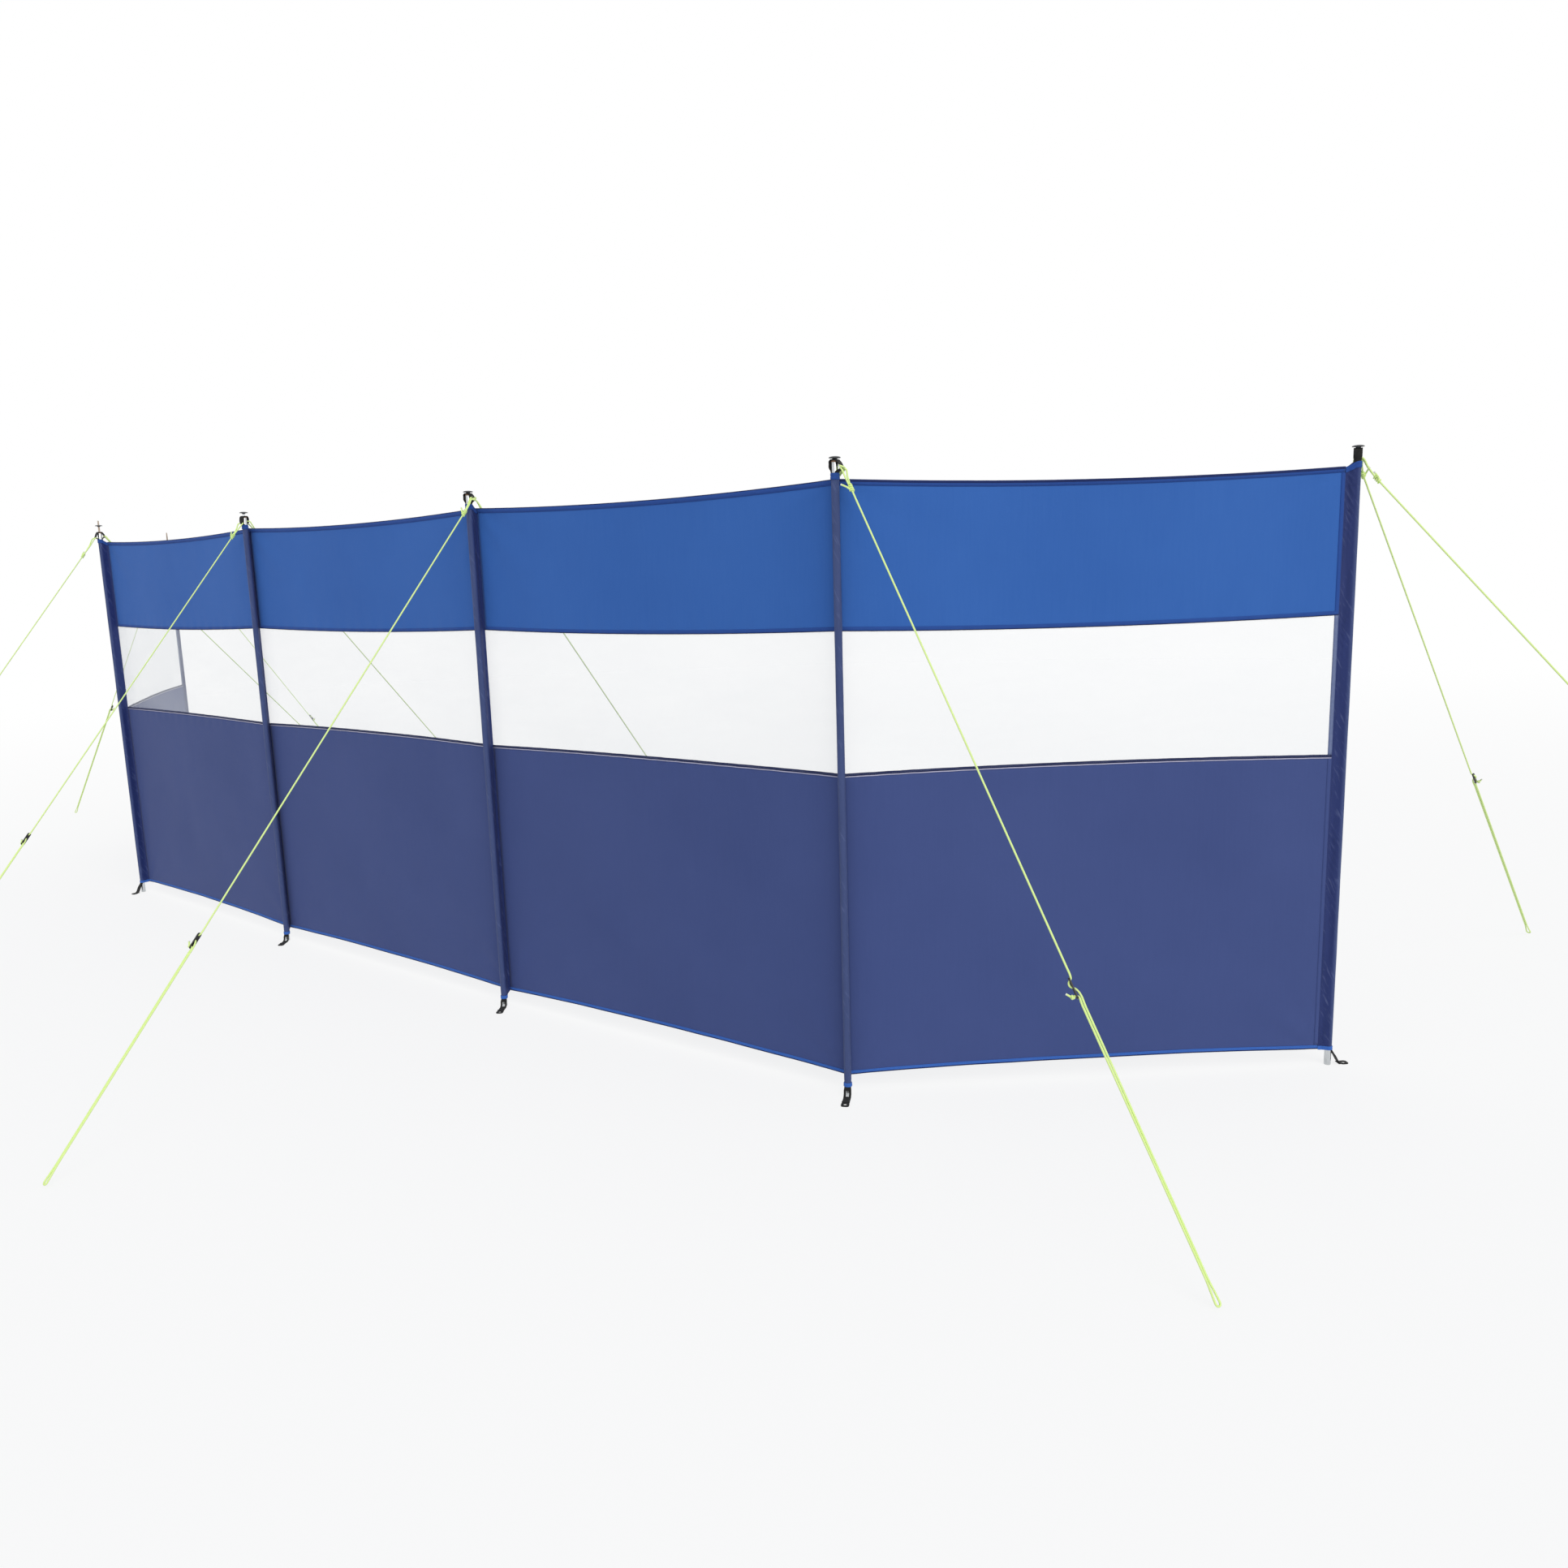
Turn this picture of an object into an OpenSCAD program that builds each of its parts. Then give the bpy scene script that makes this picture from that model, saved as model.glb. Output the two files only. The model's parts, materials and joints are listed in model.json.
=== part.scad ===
// Five-bay windbreak: cloth bays with clear windows, hung on upright poles and stayed by guy lines.
// The origin is the middle of the fifth pole's foot, the corner pole. The last bay runs along +X,
// +Z is up, and the outer side of the cloth faces -Y there. Lengths are millimetres.

/* [Layout] */
// Distance between neighbouring pole axes
bay_width = 1200; // [600:10:1800]
// Turn of the cloth at the second pole, degrees
turn_at_pole_2 = 35; // [-40:1:40]
// Turn of the cloth at the third pole, degrees
turn_at_pole_3 = 2; // [-40:1:40]
// Turn of the cloth at the fourth pole, degrees
turn_at_pole_4 = 3; // [-40:1:40]
// Turn of the cloth at the fifth pole, degrees
turn_at_pole_5 = 40; // [-40:1:40]

/* [Poles] */
// Length of pole tube that stands out of the sleeve at the top
pole_show = 28; // [20:1:60]
// Outside diameter of the pole tube
pole_diameter = 16; // [12:0.5:22]
// Diameter of the spike at the tube's end
spike_diameter = 7; // [5:0.5:9]
// Length of a bare spike above the tube
spike_length = 46; // [38:1:80]
// Diameter of the domed cap
cap_diameter = 27; // [22:0.5:36]
// Height of the domed cap
cap_height = 7; // [5:0.5:9]

/* [Cloth] */
// Height of the bottom hem above the ground
hem_height = 42; // [36:1:60]
// Height of the lower cloth panel
lower_height = 730; // [400:5:760]
// Height of the clear window
window_height = 335; // [200:5:360]
// Height of the upper cloth band
band_height = 335; // [200:5:360]
// Thickness of the cloth panels
cloth_thickness = 2; // [1:0.25:3]
// Thickness of the window film
film_thickness = 1; // [0.5:0.25:2]
// Sag of the top edge at mid bay
top_sag = 14; // [0:1:40]
// Sag of the window's upper seam at mid bay
upper_seam_sag = 9; // [0:1:30]
// Rise of the window's lower seam at mid bay
lower_seam_rise = 6; // [0:1:30]
// Rise of the bottom hem at mid bay
hem_rise = 9; // [0:1:30]

/* [Sleeves] */
// Thickness of the cloth tube round a pole
sleeve_wall = 1.4; // [1:0.1:3]
// Depth of the standing tuck at a middle pole, from the pole axis back to the seam of the bays
tuck = 24; // [18:1:40]
// Width of the folded pocket at each end pole, from the pole axis to its seam
end_pocket = 28; // [20:1:45]
// Height of a sleeve above the cloth's top edge
sleeve_rise = 10; // [2:1:20]
// Drop of a middle sleeve below the hem
sleeve_drop = 18; // [4:1:22]
// Drop of an end or first corner sleeve below the hem
short_sleeve_drop = 2; // [0:1:10]

/* [Webbing] */
// Width of the webbing straps
webbing_width = 20; // [12:1:24]
// Thickness of the webbing straps
webbing_thickness = 2; // [1:0.25:2.5]
// Length of a foot strap from the sleeve's lower rim to the end of its toe
foot_strap_length = 82; // [70:1:120]
// Diameter of the peg eye in a foot strap
peg_eye_diameter = 9; // [5:0.5:10]

/* [Guy lines] */
// Diameter of the guy line
guy_diameter = 4; // [2.5:0.25:6]
// Ground reach of the outer guy at each pole
outer_reach = [1280, 1090, 1190, 1280, 1060, 1260]; // [600:10:2000]
// Swing of the outer guy at each pole from square to the cloth, degrees
outer_swing = [-49, -2, -1, 1, 48, 57]; // [-60:1:60]
// Ground reach of the inner guy at each pole
inner_reach = [1200, 1200, 1200, 1200, 1200, 1480]; // [600:10:2000]
// Swing of the inner guy at each pole from square to the cloth, degrees
inner_swing = [49, -2, -1, 1, 12, -53]; // [-60:1:60]
// Share of each outer guy's length above its runner
outer_runner_share = [0.57, 0.65, 0.65, 0.70, 0.68, 0.65]; // [0.4:0.01:0.8]
// Share of each inner guy's length above its runner
inner_runner_share = [0.65, 0.65, 0.65, 0.65, 0.65, 0.59]; // [0.4:0.01:0.8]
// Length of a runner
runner_length = 42; // [30:1:60]
// Width of a runner
runner_width = 10; // [8:0.5:16]
// Thickness of a runner
runner_thickness = 4; // [3:0.5:6]

/* [Hidden] */
$fn = 48;
// Gap kept round a pole, a spike or a strap where it meets another piece
clearance = 0.3;
bays = 5;
poles = bays + 1;
corner = bays - 1;
turns = [turn_at_pole_2, turn_at_pole_3, turn_at_pole_4, turn_at_pole_5];

// Heights of the cloth's seams
lower_top = hem_height + lower_height;
window_top = lower_top + window_height;
cloth_top = window_top + band_height;
sleeve_top = cloth_top + sleeve_rise;
pole_height = sleeve_top + pole_show;
edge_steps = 16;

// The first two poles show a bare spike, and the others end in a cap
spiked = [true, true, false, false, false, false];
// Height of each cap above its strap; the first pole has none
capped = [false, true, true, true, true, true];
cap_lift = [0, 20, 7, 0, 0, 0];
cap_skin = 2;
spike_tip_share = 0.7;

// Which sleeves stop near the hem, and which poles end the cloth
short_sleeve = [true, true, false, false, false, true];
end_pole = [true, false, false, false, false, true];

// Where the straps point, from square to the cloth
strap_swing = [-90, -2, -1, 1, 30, 90];
toe_swing = [-90, 32, 40, 35, 5, 90];
// How far each middle tuck leans from square to the cloth
tuck_swing = [0, 0, 30, 0, 10, 0];

pole_radius = pole_diameter / 2;
sleeve_bore = pole_radius + clearance;
sleeve_radius = sleeve_bore + sleeve_wall;
strap_face = sleeve_bore + webbing_thickness;
strap_top = pole_height + webbing_thickness;
guy_radius = guy_diameter / 2;
guy_start = strap_face + clearance + guy_radius;
guy_top = (sleeve_top + pole_height) / 2;
guy_end = guy_diameter * 1.5;
strand_pitch = guy_diameter + 2 * clearance;
bight_diameter = guy_diameter + clearance;
knot_diameter = guy_diameter * 2.5;
knot_drop = 55;
runner_face = strand_pitch / 2 + guy_radius + clearance;
peg_eye_edge = peg_eye_diameter;

cloth_blue = "#3560a8";
cloth_navy = "#3d4a7d";
film_clear = [0.92, 0.95, 0.98, 0.3];
steel_grey = "#b9bcc0";
webbing_black = "#1c1c1e";
guy_lime = "#c4f25c";

// Plan of the windbreak: the heading of each bay and the foot of each pole
function heading(bay) = bay >= bays - 1 ? 0 : heading(bay + 1) - turns[bay];
function along(bay) = bay_width * [cos(heading(bay)), sin(heading(bay)), 0];
function foot(pole) =
    pole == corner ? [0, 0, 0]
    : pole > corner ? foot(pole - 1) + along(pole - 1)
    : foot(pole + 1) - along(pole);

// Bearing of the outer side at a pole: square to the cloth, halfway between the two bays that meet
function first_bay(pole) = max(pole - 1, 0);
function last_bay(pole) = min(pole, bays - 1);
function outward(pole) = (heading(first_bay(pole)) + heading(last_bay(pole))) / 2 - 90;
function drop(pole) = short_sleeve[pole] ? short_sleeve_drop : sleeve_drop;
function sleeve_bottom(pole) = hem_height - drop(pole);
function toe_reach(pole) = sleeve_bore + foot_strap_length - sleeve_bottom(pole);

// Where the bays are sewn to a sleeve: behind a middle pole, and beside an end pole
function bearing_of(run) = atan2(run[1], run[0]);
function behind(pole) = outward(pole) + tuck_swing[pole] + 180;
function neighbour(pole) = pole == 0 ? 1 : pole - 1;
function seam(pole) =
    end_pole[pole]
    ? let (run = seam(neighbour(pole)) - foot(pole)) foot(pole) + end_pocket * run / norm(run)
    : foot(pole) + tuck * [cos(behind(pole)), sin(behind(pole)), 0];
function fold_bearing(pole) = bearing_of(seam(pole) - foot(pole));
function bay_run(bay) = seam(bay + 1) - seam(bay);

// How far the cloth of a bay starts from the seam, so that its end lies close beside the fold
function bay_inset(pole, bay) =
    let (
        turn = bearing_of(bay_run(bay)) - fold_bearing(pole),
        lean = bay == pole ? -cos(turn) : cos(turn),
        across = abs(sin(turn)),
        half = cloth_thickness / 2
    )
    end_pole[pole] ? 0
    : lean > 0 ? (cloth_thickness + clearance + half * lean) / across
    : cloth_thickness * across - half * lean + clearance;

// A shallow bow between the two seams of a bay, one at mid bay and nothing at the seams
function bow(x, width) = 4 * (x / width) * (1 - x / width);
function edge(from, to, width, height, rise) = [
    for (step = [0:edge_steps])
        let (x = from + (to - from) * step / edge_steps) [x, height + rise * bow(x, width)]
];
function reversed(points) = [for (i = [len(points) - 1:-1:0]) points[i]];

// A guy's top on the strap, its ground end, and the share of the way between them
function strap_bearing(pole) = outward(pole) + strap_swing[pole];
function guy_bearing(pole, inner) =
    outward(pole) + (inner ? 180 + inner_swing[pole] : outer_swing[pole]);
function guy_reach(pole, inner) = inner ? inner_reach[pole] : outer_reach[pole];
function runner_share(pole, inner) = inner ? inner_runner_share[pole] : outer_runner_share[pole];
function leg_offset(pole, inner) = abs(cos(guy_bearing(pole, inner) - strap_bearing(pole)));
function guy_head(pole, inner) =
    let (bearing = guy_bearing(pole, inner), out = guy_start / leg_offset(pole, inner))
    foot(pole) + [out * cos(bearing), out * sin(bearing), guy_top];
function guy_tail(pole, inner) =
    let (bearing = guy_bearing(pole, inner), out = guy_reach(pole, inner))
    foot(pole) + [out * cos(bearing), out * sin(bearing), guy_end];

module place_at(pole) {
    translate(foot(pole)) children();
}

// Lays children out with their local +Z running from one point to another
module aim(from, to) {
    run = to - from;
    bearing = atan2(run[1], run[0]);
    tilt = acos(run[2] / norm(run));
    translate(from) rotate([0, tilt, bearing]) children();
}

module pole(i) {
    pin = cap_lift[i] + webbing_thickness + cap_height - cap_skin - clearance;
    reach = spiked[i] ? spike_length : pin;
    tip = spiked[i] ? spike_tip_share * spike_diameter : spike_diameter;
    color(steel_grey) place_at(i) {
        cylinder(d = pole_diameter, h = pole_height);
        translate([0, 0, pole_height]) cylinder(d1 = spike_diameter, d2 = tip, h = reach);
    }
}

// Domed cap: a slice of a ball with a socket for the spike, open at the top on a bare spike
module domed_cap(open_top) {
    radius = cap_diameter / 2;
    ball = (radius * radius + cap_height * cap_height) / (2 * cap_height);
    socket = spike_diameter + 2 * clearance;
    socket_depth = open_top ? 2 * cap_height : cap_height - cap_skin;
    difference() {
        intersection() {
            translate([0, 0, cap_height - ball]) sphere(r = ball, $fn = 96);
            cylinder(d = cap_diameter, h = cap_height);
        }
        translate([0, 0, open_top ? -cap_height / 2 : 0])
            cylinder(d = socket, h = socket_depth);
    }
}

module pole_caps() {
    color("dimgray")
    for (i = [0:poles - 1])
        if (capped[i])
            place_at(i) translate([0, 0, strap_top + cap_lift[i]]) domed_cap(spiked[i]);
}

// Sleeve round a pole, with the flat double fold that runs from it to the seam of the bays
module sleeve(i) {
    depth = norm(seam(i) - foot(i)) + (end_pole[i] ? 0 : cloth_thickness / 2);
    fold = 2 * cloth_thickness;
    color(cloth_navy) place_at(i)
        difference() {
            union() {
                translate([0, 0, sleeve_bottom(i)])
                    cylinder(r = sleeve_radius, h = sleeve_top - sleeve_bottom(i));
                rotate(fold_bearing(i)) translate([0, -fold / 2, hem_height])
                    cube([depth, fold, cloth_top - hem_height]);
            }
            cylinder(r = sleeve_bore, h = 2 * sleeve_top);
        }
}

// One strip of a bay between two bowed edges
module strip(bay, low, low_rise, high, high_rise, thickness) {
    run = bay_run(bay);
    width = norm(run);
    from = bay_inset(bay, bay);
    to = width - bay_inset(bay + 1, bay);
    low_edge = edge(from, to, width, low, low_rise);
    high_edge = edge(from, to, width, high, high_rise);
    translate(seam(bay)) rotate(bearing_of(run)) rotate([90, 0, 0])
        translate([0, 0, -thickness / 2]) linear_extrude(thickness)
            polygon(concat(low_edge, reversed(high_edge)));
}

module upper_band(bay) {
    color(cloth_blue)
        strip(bay, window_top, -upper_seam_sag, cloth_top, -top_sag, cloth_thickness);
}

module window(bay) {
    color(film_clear)
        strip(bay, lower_top, lower_seam_rise, window_top, -upper_seam_sag, film_thickness);
}

module lower_panel(bay) {
    color(cloth_navy)
        strip(bay, hem_height, hem_rise, lower_top, lower_seam_rise, cloth_thickness);
}

// Loop of webbing over a pole's top, from the sleeve's rim up one side and down the other
module top_strap(i) {
    place_at(i) rotate(strap_bearing(i))
        difference() {
            translate([-strap_face, -webbing_width / 2, sleeve_top])
                cube([2 * strap_face, webbing_width, strap_top - sleeve_top]);
            translate([-sleeve_bore, -webbing_width, 0])
                cube([2 * sleeve_bore, 2 * webbing_width, pole_height]);
            cylinder(d = spike_diameter + 2 * clearance, h = 2 * pole_height);
        }
}

module top_straps() {
    color(webbing_black)
        for (i = [0:poles - 1]) top_strap(i);
}

// Strap from a sleeve's lower rim down to the ground, with a peg eye in its toe
module foot_strap(i) {
    place_at(i) rotate(outward(i) + toe_swing[i])
        difference() {
            translate([sleeve_bore, -webbing_width / 2, 0]) union() {
                cube([webbing_thickness, webbing_width, sleeve_bottom(i)]);
                cube([toe_reach(i) - sleeve_bore, webbing_width, webbing_thickness]);
            }
            translate([toe_reach(i) - peg_eye_edge, 0, -webbing_thickness])
                cylinder(d = peg_eye_diameter, h = 3 * webbing_thickness);
        }
}

module foot_straps() {
    color(webbing_black)
        for (i = [0:poles - 1]) foot_strap(i);
}

// Guy line: one strand with a knot below the strap, doubled from the runner to the ground
module guy(i, inner) {
    head = guy_head(i, inner);
    tail = guy_tail(i, inner);
    length = norm(tail - head);
    single = length * runner_share(i, inner) + runner_length / 2;
    double = length * runner_share(i, inner) - runner_length / 2;
    color(guy_lime) aim(head, tail) {
        sphere(d = guy_diameter);
        cylinder(d = guy_diameter, h = single);
        translate([0, 0, knot_drop]) sphere(d = knot_diameter);
        for (side = [-1, 1])
            translate([0, side * strand_pitch / 2, double])
                cylinder(d = guy_diameter, h = length - double - guy_radius / 2);
        translate([0, 0, length - guy_radius]) rotate([0, 90, 0]) rotate([0, 0, 90])
            rotate_extrude(angle = 180) translate([strand_pitch / 2, 0]) circle(d = bight_diameter);
    }
}

// Flat runner standing on edge beside the doubled strands
module runner(i, inner) {
    head = guy_head(i, inner);
    tail = guy_tail(i, inner);
    middle = norm(tail - head) * runner_share(i, inner);
    aim(head, tail)
        translate([-runner_width / 2, -runner_face - runner_thickness, middle - runner_length / 2])
            cube([runner_width, runner_thickness, runner_length]);
}

module guy_runners() {
    color(webbing_black)
        for (i = [0:poles - 1], inner = [false, true]) runner(i, inner);
}

pole(0);  // pole_1
pole(1);  // pole_2
pole(2);  // pole_3
pole(3);  // pole_4
pole(4);  // pole_5
pole(5);  // pole_6
pole_caps();
sleeve(0);  // sleeve_1
sleeve(1);  // sleeve_2
sleeve(2);  // sleeve_3
sleeve(3);  // sleeve_4
sleeve(4);  // sleeve_5
sleeve(5);  // sleeve_6
upper_band(0);  // upper_band_1
upper_band(1);  // upper_band_2
upper_band(2);  // upper_band_3
upper_band(3);  // upper_band_4
upper_band(4);  // upper_band_5
window(0);  // window_1
window(1);  // window_2
window(2);  // window_3
window(3);  // window_4
window(4);  // window_5
lower_panel(0);  // lower_panel_1
lower_panel(1);  // lower_panel_2
lower_panel(2);  // lower_panel_3
lower_panel(3);  // lower_panel_4
lower_panel(4);  // lower_panel_5
top_straps();
foot_straps();
guy(0, false);  // outer_guy_1
guy(1, false);  // outer_guy_2
guy(2, false);  // outer_guy_3
guy(3, false);  // outer_guy_4
guy(4, false);  // outer_guy_5
guy(5, false);  // outer_guy_6
guy(0, true);  // inner_guy_1
guy(1, true);  // inner_guy_2
guy(2, true);  // inner_guy_3
guy(3, true);  // inner_guy_4
guy(4, true);  // inner_guy_5
guy(5, true);  // inner_guy_6
guy_runners();
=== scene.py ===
import json
import random
from math import acos, atan2, cos, dist, exp, hypot, pi, radians, sin

import bpy
from mathutils import Matrix, Vector, geometry, noise


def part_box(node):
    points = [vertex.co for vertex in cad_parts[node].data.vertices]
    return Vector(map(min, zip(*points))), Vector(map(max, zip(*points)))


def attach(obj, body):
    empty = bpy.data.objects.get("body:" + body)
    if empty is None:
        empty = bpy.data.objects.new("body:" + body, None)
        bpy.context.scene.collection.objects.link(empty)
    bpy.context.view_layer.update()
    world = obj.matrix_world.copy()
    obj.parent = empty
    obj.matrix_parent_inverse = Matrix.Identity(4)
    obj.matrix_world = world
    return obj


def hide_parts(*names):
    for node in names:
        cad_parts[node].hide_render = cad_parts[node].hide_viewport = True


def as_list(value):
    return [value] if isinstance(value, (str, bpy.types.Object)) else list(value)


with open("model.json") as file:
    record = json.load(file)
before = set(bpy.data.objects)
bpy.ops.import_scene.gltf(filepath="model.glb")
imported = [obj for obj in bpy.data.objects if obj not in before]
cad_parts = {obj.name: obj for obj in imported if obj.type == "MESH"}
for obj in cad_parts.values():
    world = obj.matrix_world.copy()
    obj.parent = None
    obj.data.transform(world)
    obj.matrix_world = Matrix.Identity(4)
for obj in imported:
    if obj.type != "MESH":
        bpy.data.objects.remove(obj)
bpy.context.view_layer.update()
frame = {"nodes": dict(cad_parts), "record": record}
SCENE = bpy.context.scene
UP = Vector((0, 0, 1))
MM = 0.001
SEED = 11

# Photograph's camera
IMAGE_SIDE = 1932
FOCAL_PX = 1489.7
CAMERA_PLACE = (-0.3568, -2.7142, 1.2383)
CAMERA_YAW, CAMERA_PITCH, CAMERA_ROLL = -4.724, 9.862, -1.687

# Heights of the cloth, as in the solids
HEM, LOWER_TOP, WINDOW_TOP, CLOTH_TOP = 0.042, 0.772, 1.107, 1.442
TOP_SAG, SEAM_SAG, SEAM_RISE, HEM_RISE = 0.014, 0.009, 0.006, 0.009
POLE_RADIUS = 0.008
SPIKE_RADIUS = 0.0035
CAP_RADIUS, CAP_HEIGHT = 0.0135, 0.007
CORD_RADIUS, CORD_SIDES = 0.002, 10
POLES = 6
BAYS = POLES - 1


def smooth(t):
    t = min(1.0, max(0.0, t))
    return t * t * (3 - 2 * t)


def bearing(degrees):
    a = radians(degrees)
    return Vector((cos(a), sin(a), 0))


def drift(*place):
    """Smooth noise, from minus one to one."""
    return noise.noise(Vector(place))


def compass(sides):
    """Cosine and sine of evenly spaced bearings, once round."""
    return [(cos(2 * pi * k / sides), sin(2 * pi * k / sides)) for k in range(sides)]


def arc(radius, start, count):
    """Points of a circle from a bearing to its far side."""
    angles = [start + (pi - start) * k / count for k in range(count + 1)]
    return [Vector((radius * cos(a), radius * sin(a))) for a in angles]


def flat(v):
    return Vector((v.x, v.y, 0))


def add(name, data):
    obj = bpy.data.objects.new(name, data)
    SCENE.collection.objects.link(obj)
    return obj


def points_of(node):
    return [v.co for v in frame["nodes"][node].data.vertices]


def far_point(node, foot, slack=0.0006):
    """Where a solid reaches farthest from a pole's axis, on the ground."""
    reach = [(flat(p - foot).length, p) for p in points_of(node)]
    limit = max(r for r, p in reach) - slack
    far = [flat(p) for r, p in reach if r > limit]
    return sum(far, Vector()) / len(far)


MOUNTS = {m["name"]: Vector(m["pos_m"]) for m in frame["record"]["mounts"]}
FEET = [MOUNTS[f"pole_foot_{i + 1}"] for i in range(POLES)]
EYES = [MOUNTS[f"peg_eye_{i + 1}"] for i in range(POLES)]
SEAMS = [far_point(f"sleeve_{i + 1}", FEET[i]) for i in range(POLES)]
SLEEVE_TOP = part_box("sleeve_1")[1].z
SLEEVE_BOTTOM = [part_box(f"sleeve_{i + 1}")[0].z for i in range(POLES)]
POLE_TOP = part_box("top_straps")[1].z - 0.002
PIN_TOP = [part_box(f"pole_{i + 1}")[1].z for i in range(POLES)]
BARE_SPIKE = (0, 1)


def walk(path):
    """Each point of a path, its direction there and the length so far."""
    run, last = 0.0, len(path) - 1
    for k, p in enumerate(path):
        run += (p - path[k - 1]).length if k else 0.0
        yield p, (path[min(k + 1, last)] - path[max(k - 1, 0)]).normalized(), run


class Shape:
    """Points, faces, UVs in metres and material numbers of one piece."""

    def __init__(self):
        self.verts, self.faces, self.uvs, self.mats = [], [], [], []

    def face(self, corners, uvs=None, mat=0):
        self.faces.append(tuple(corners))
        self.uvs.append(uvs or [(0.0, 0.0)] * len(corners))
        self.mats.append(mat)

    def grid(self, rows, uv, closed=False, mat=0):
        """Quads between rows of points: a sheet, or a closed bar with capped ends."""
        base, across = len(self.verts), len(rows[0])
        for row in rows:
            self.verts.extend(row)
        for i in range(len(rows) - 1):
            for j in range(across if closed else across - 1):
                a = base + i * across + j
                b = base + i * across + (j + 1) % across
                self.face((a, b, b + across, a + across),
                          (uv(i, j), uv(i, j + 1), uv(i + 1, j + 1), uv(i + 1, j)), mat)
        if closed:
            last = base + (len(rows) - 1) * across
            self.face([base + j for j in reversed(range(across))], mat=mat)
            self.face([last + j for j in range(across)], mat=mat)

    def tube(self, path, radius=CORD_RADIUS, mat=0):
        """Round bar along a path."""
        way, rows = list(walk(path)), []
        side = way[0][1].orthogonal().normalized()
        for p, t, _ in way:
            side = (side - t * side.dot(t)).normalized()
            other = t.cross(side)
            rows.append([p + radius * (c * side + s * other) for c, s in compass(CORD_SIDES)])
        girth = 2 * pi * radius / CORD_SIDES
        self.grid(rows, lambda i, j: (way[i][2], j * girth), closed=True, mat=mat)

    def ribbon(self, path, crosswise, width, thickness, curls=None, cinch=None):
        """Strap along a path; curls bend it across, and cinch draws in its width."""
        w, t = width / 2, thickness / 2
        half = [(-w, 0), (-w + 0.4 * t, 0.75 * t), (-w + 1.4 * t, t), (-w / 2, t), (0, t),
                (w / 2, t), (w - 1.4 * t, t), (w - 0.4 * t, 0.75 * t)]
        outline = half + [(-a, -b) for a, b in half]
        way, rows = list(walk(path)), []
        for k, (p, tangent, _) in enumerate(way):
            across = (crosswise - tangent * crosswise.dot(tangent)).normalized()
            face = tangent.cross(across)
            bent = curls[k] if curls else 0.0
            share = cinch[k] if cinch else 1.0
            section = [(a * share, b * (2 - share)) for a, b in outline]
            if abs(bent) > 1.0:
                r = 1 / bent
                rows.append([p + across * (sin(a * bent) * (r + b)) + face * (cos(a * bent) * (r + b) - r)
                             for a, b in section])
            else:
                rows.append([p + across * a + face * b for a, b in section])
        offsets = [a for a, b in outline] + [outline[0][0]]
        self.grid(rows, lambda i, j: (way[i][2], offsets[j]), closed=True)

    def lathe(self, profile, centre, sides, mat=0):
        """Turned solid about a vertical axis, flat at both ends."""
        rows = [[centre + Vector((r * c, r * s, z)) for c, s in compass(sides)] for r, z in profile]
        girth = 2 * pi * max(r for r, z in profile) / sides
        self.grid(rows, lambda i, j: (profile[i][1], j * girth), closed=True, mat=mat)

    def plate(self, loops, depth, edge, matrix):
        """Plate with rounded edges, outlined by the first loop, pierced by the others."""
        curve = bpy.data.curves.new("outline", "CURVE")
        curve.dimensions, curve.fill_mode = "2D", "BOTH"
        curve.extrude, curve.bevel_depth, curve.bevel_resolution = depth / 2 - edge, edge, 2
        curve.offset = -edge
        for loop in loops:
            spline = curve.splines.new("POLY")
            spline.points.add(len(loop) - 1)
            for point, (x, y) in zip(spline.points, loop):
                point.co = (x, y, 0, 1)
            spline.use_cyclic_u = True
        holder = add("outline", curve)
        mesh = bpy.data.meshes.new_from_object(
            holder.evaluated_get(bpy.context.evaluated_depsgraph_get()))
        base = len(self.verts)
        self.verts.extend(matrix @ v.co for v in mesh.vertices)
        for polygon in mesh.polygons:
            self.face([base + k for k in polygon.vertices],
                      [tuple(mesh.vertices[k].co.xy) for k in polygon.vertices])
        bpy.data.objects.remove(holder)
        bpy.data.curves.remove(curve)
        bpy.data.meshes.remove(mesh)

    def stitch(self, place, along, out, length, radius):
        """One thread stitch: a slim grain lying on the cloth."""
        base, cross = len(self.verts), along.cross(out) * radius
        tip, lift = along * (length / 2), out * radius
        self.verts.extend([place - tip, place + tip, place + lift, place + cross,
                           place - lift, place - cross])
        for a, b in ((2, 3), (3, 4), (4, 5), (5, 2)):
            self.face((base, base + b, base + a))
            self.face((base + 1, base + a, base + b))

    def build(self, name, mats, slot, replaces=()):
        mesh = bpy.data.meshes.new(name)
        mesh.from_pydata([tuple(v) for v in self.verts], [], self.faces)
        layer = mesh.uv_layers.new(name="cloth")
        layer.data.foreach_set("uv", [x for face in self.uvs for uv in face for x in uv])
        mesh.polygons.foreach_set("use_smooth", [True] * len(self.faces))
        for mat in mats:
            mesh.materials.append(mat)
        mesh.polygons.foreach_set("material_index", self.mats)
        mesh.update()
        obj = add(name, mesh)
        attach(obj, "root")
        if replaces:
            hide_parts(*replaces)
        return obj


def taut(points, lead=0.010, straight=0.05):
    """Two more points in every long gap, so that a path bends only near its ends."""
    filled = [points[0]]
    for p, q in zip(points, points[1:]):
        gap = (q - p).length
        if gap > straight:
            filled += [p.lerp(q, lead / gap), p.lerp(q, 1 - lead / gap)]
        filled.append(q)
    return filled


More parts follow.
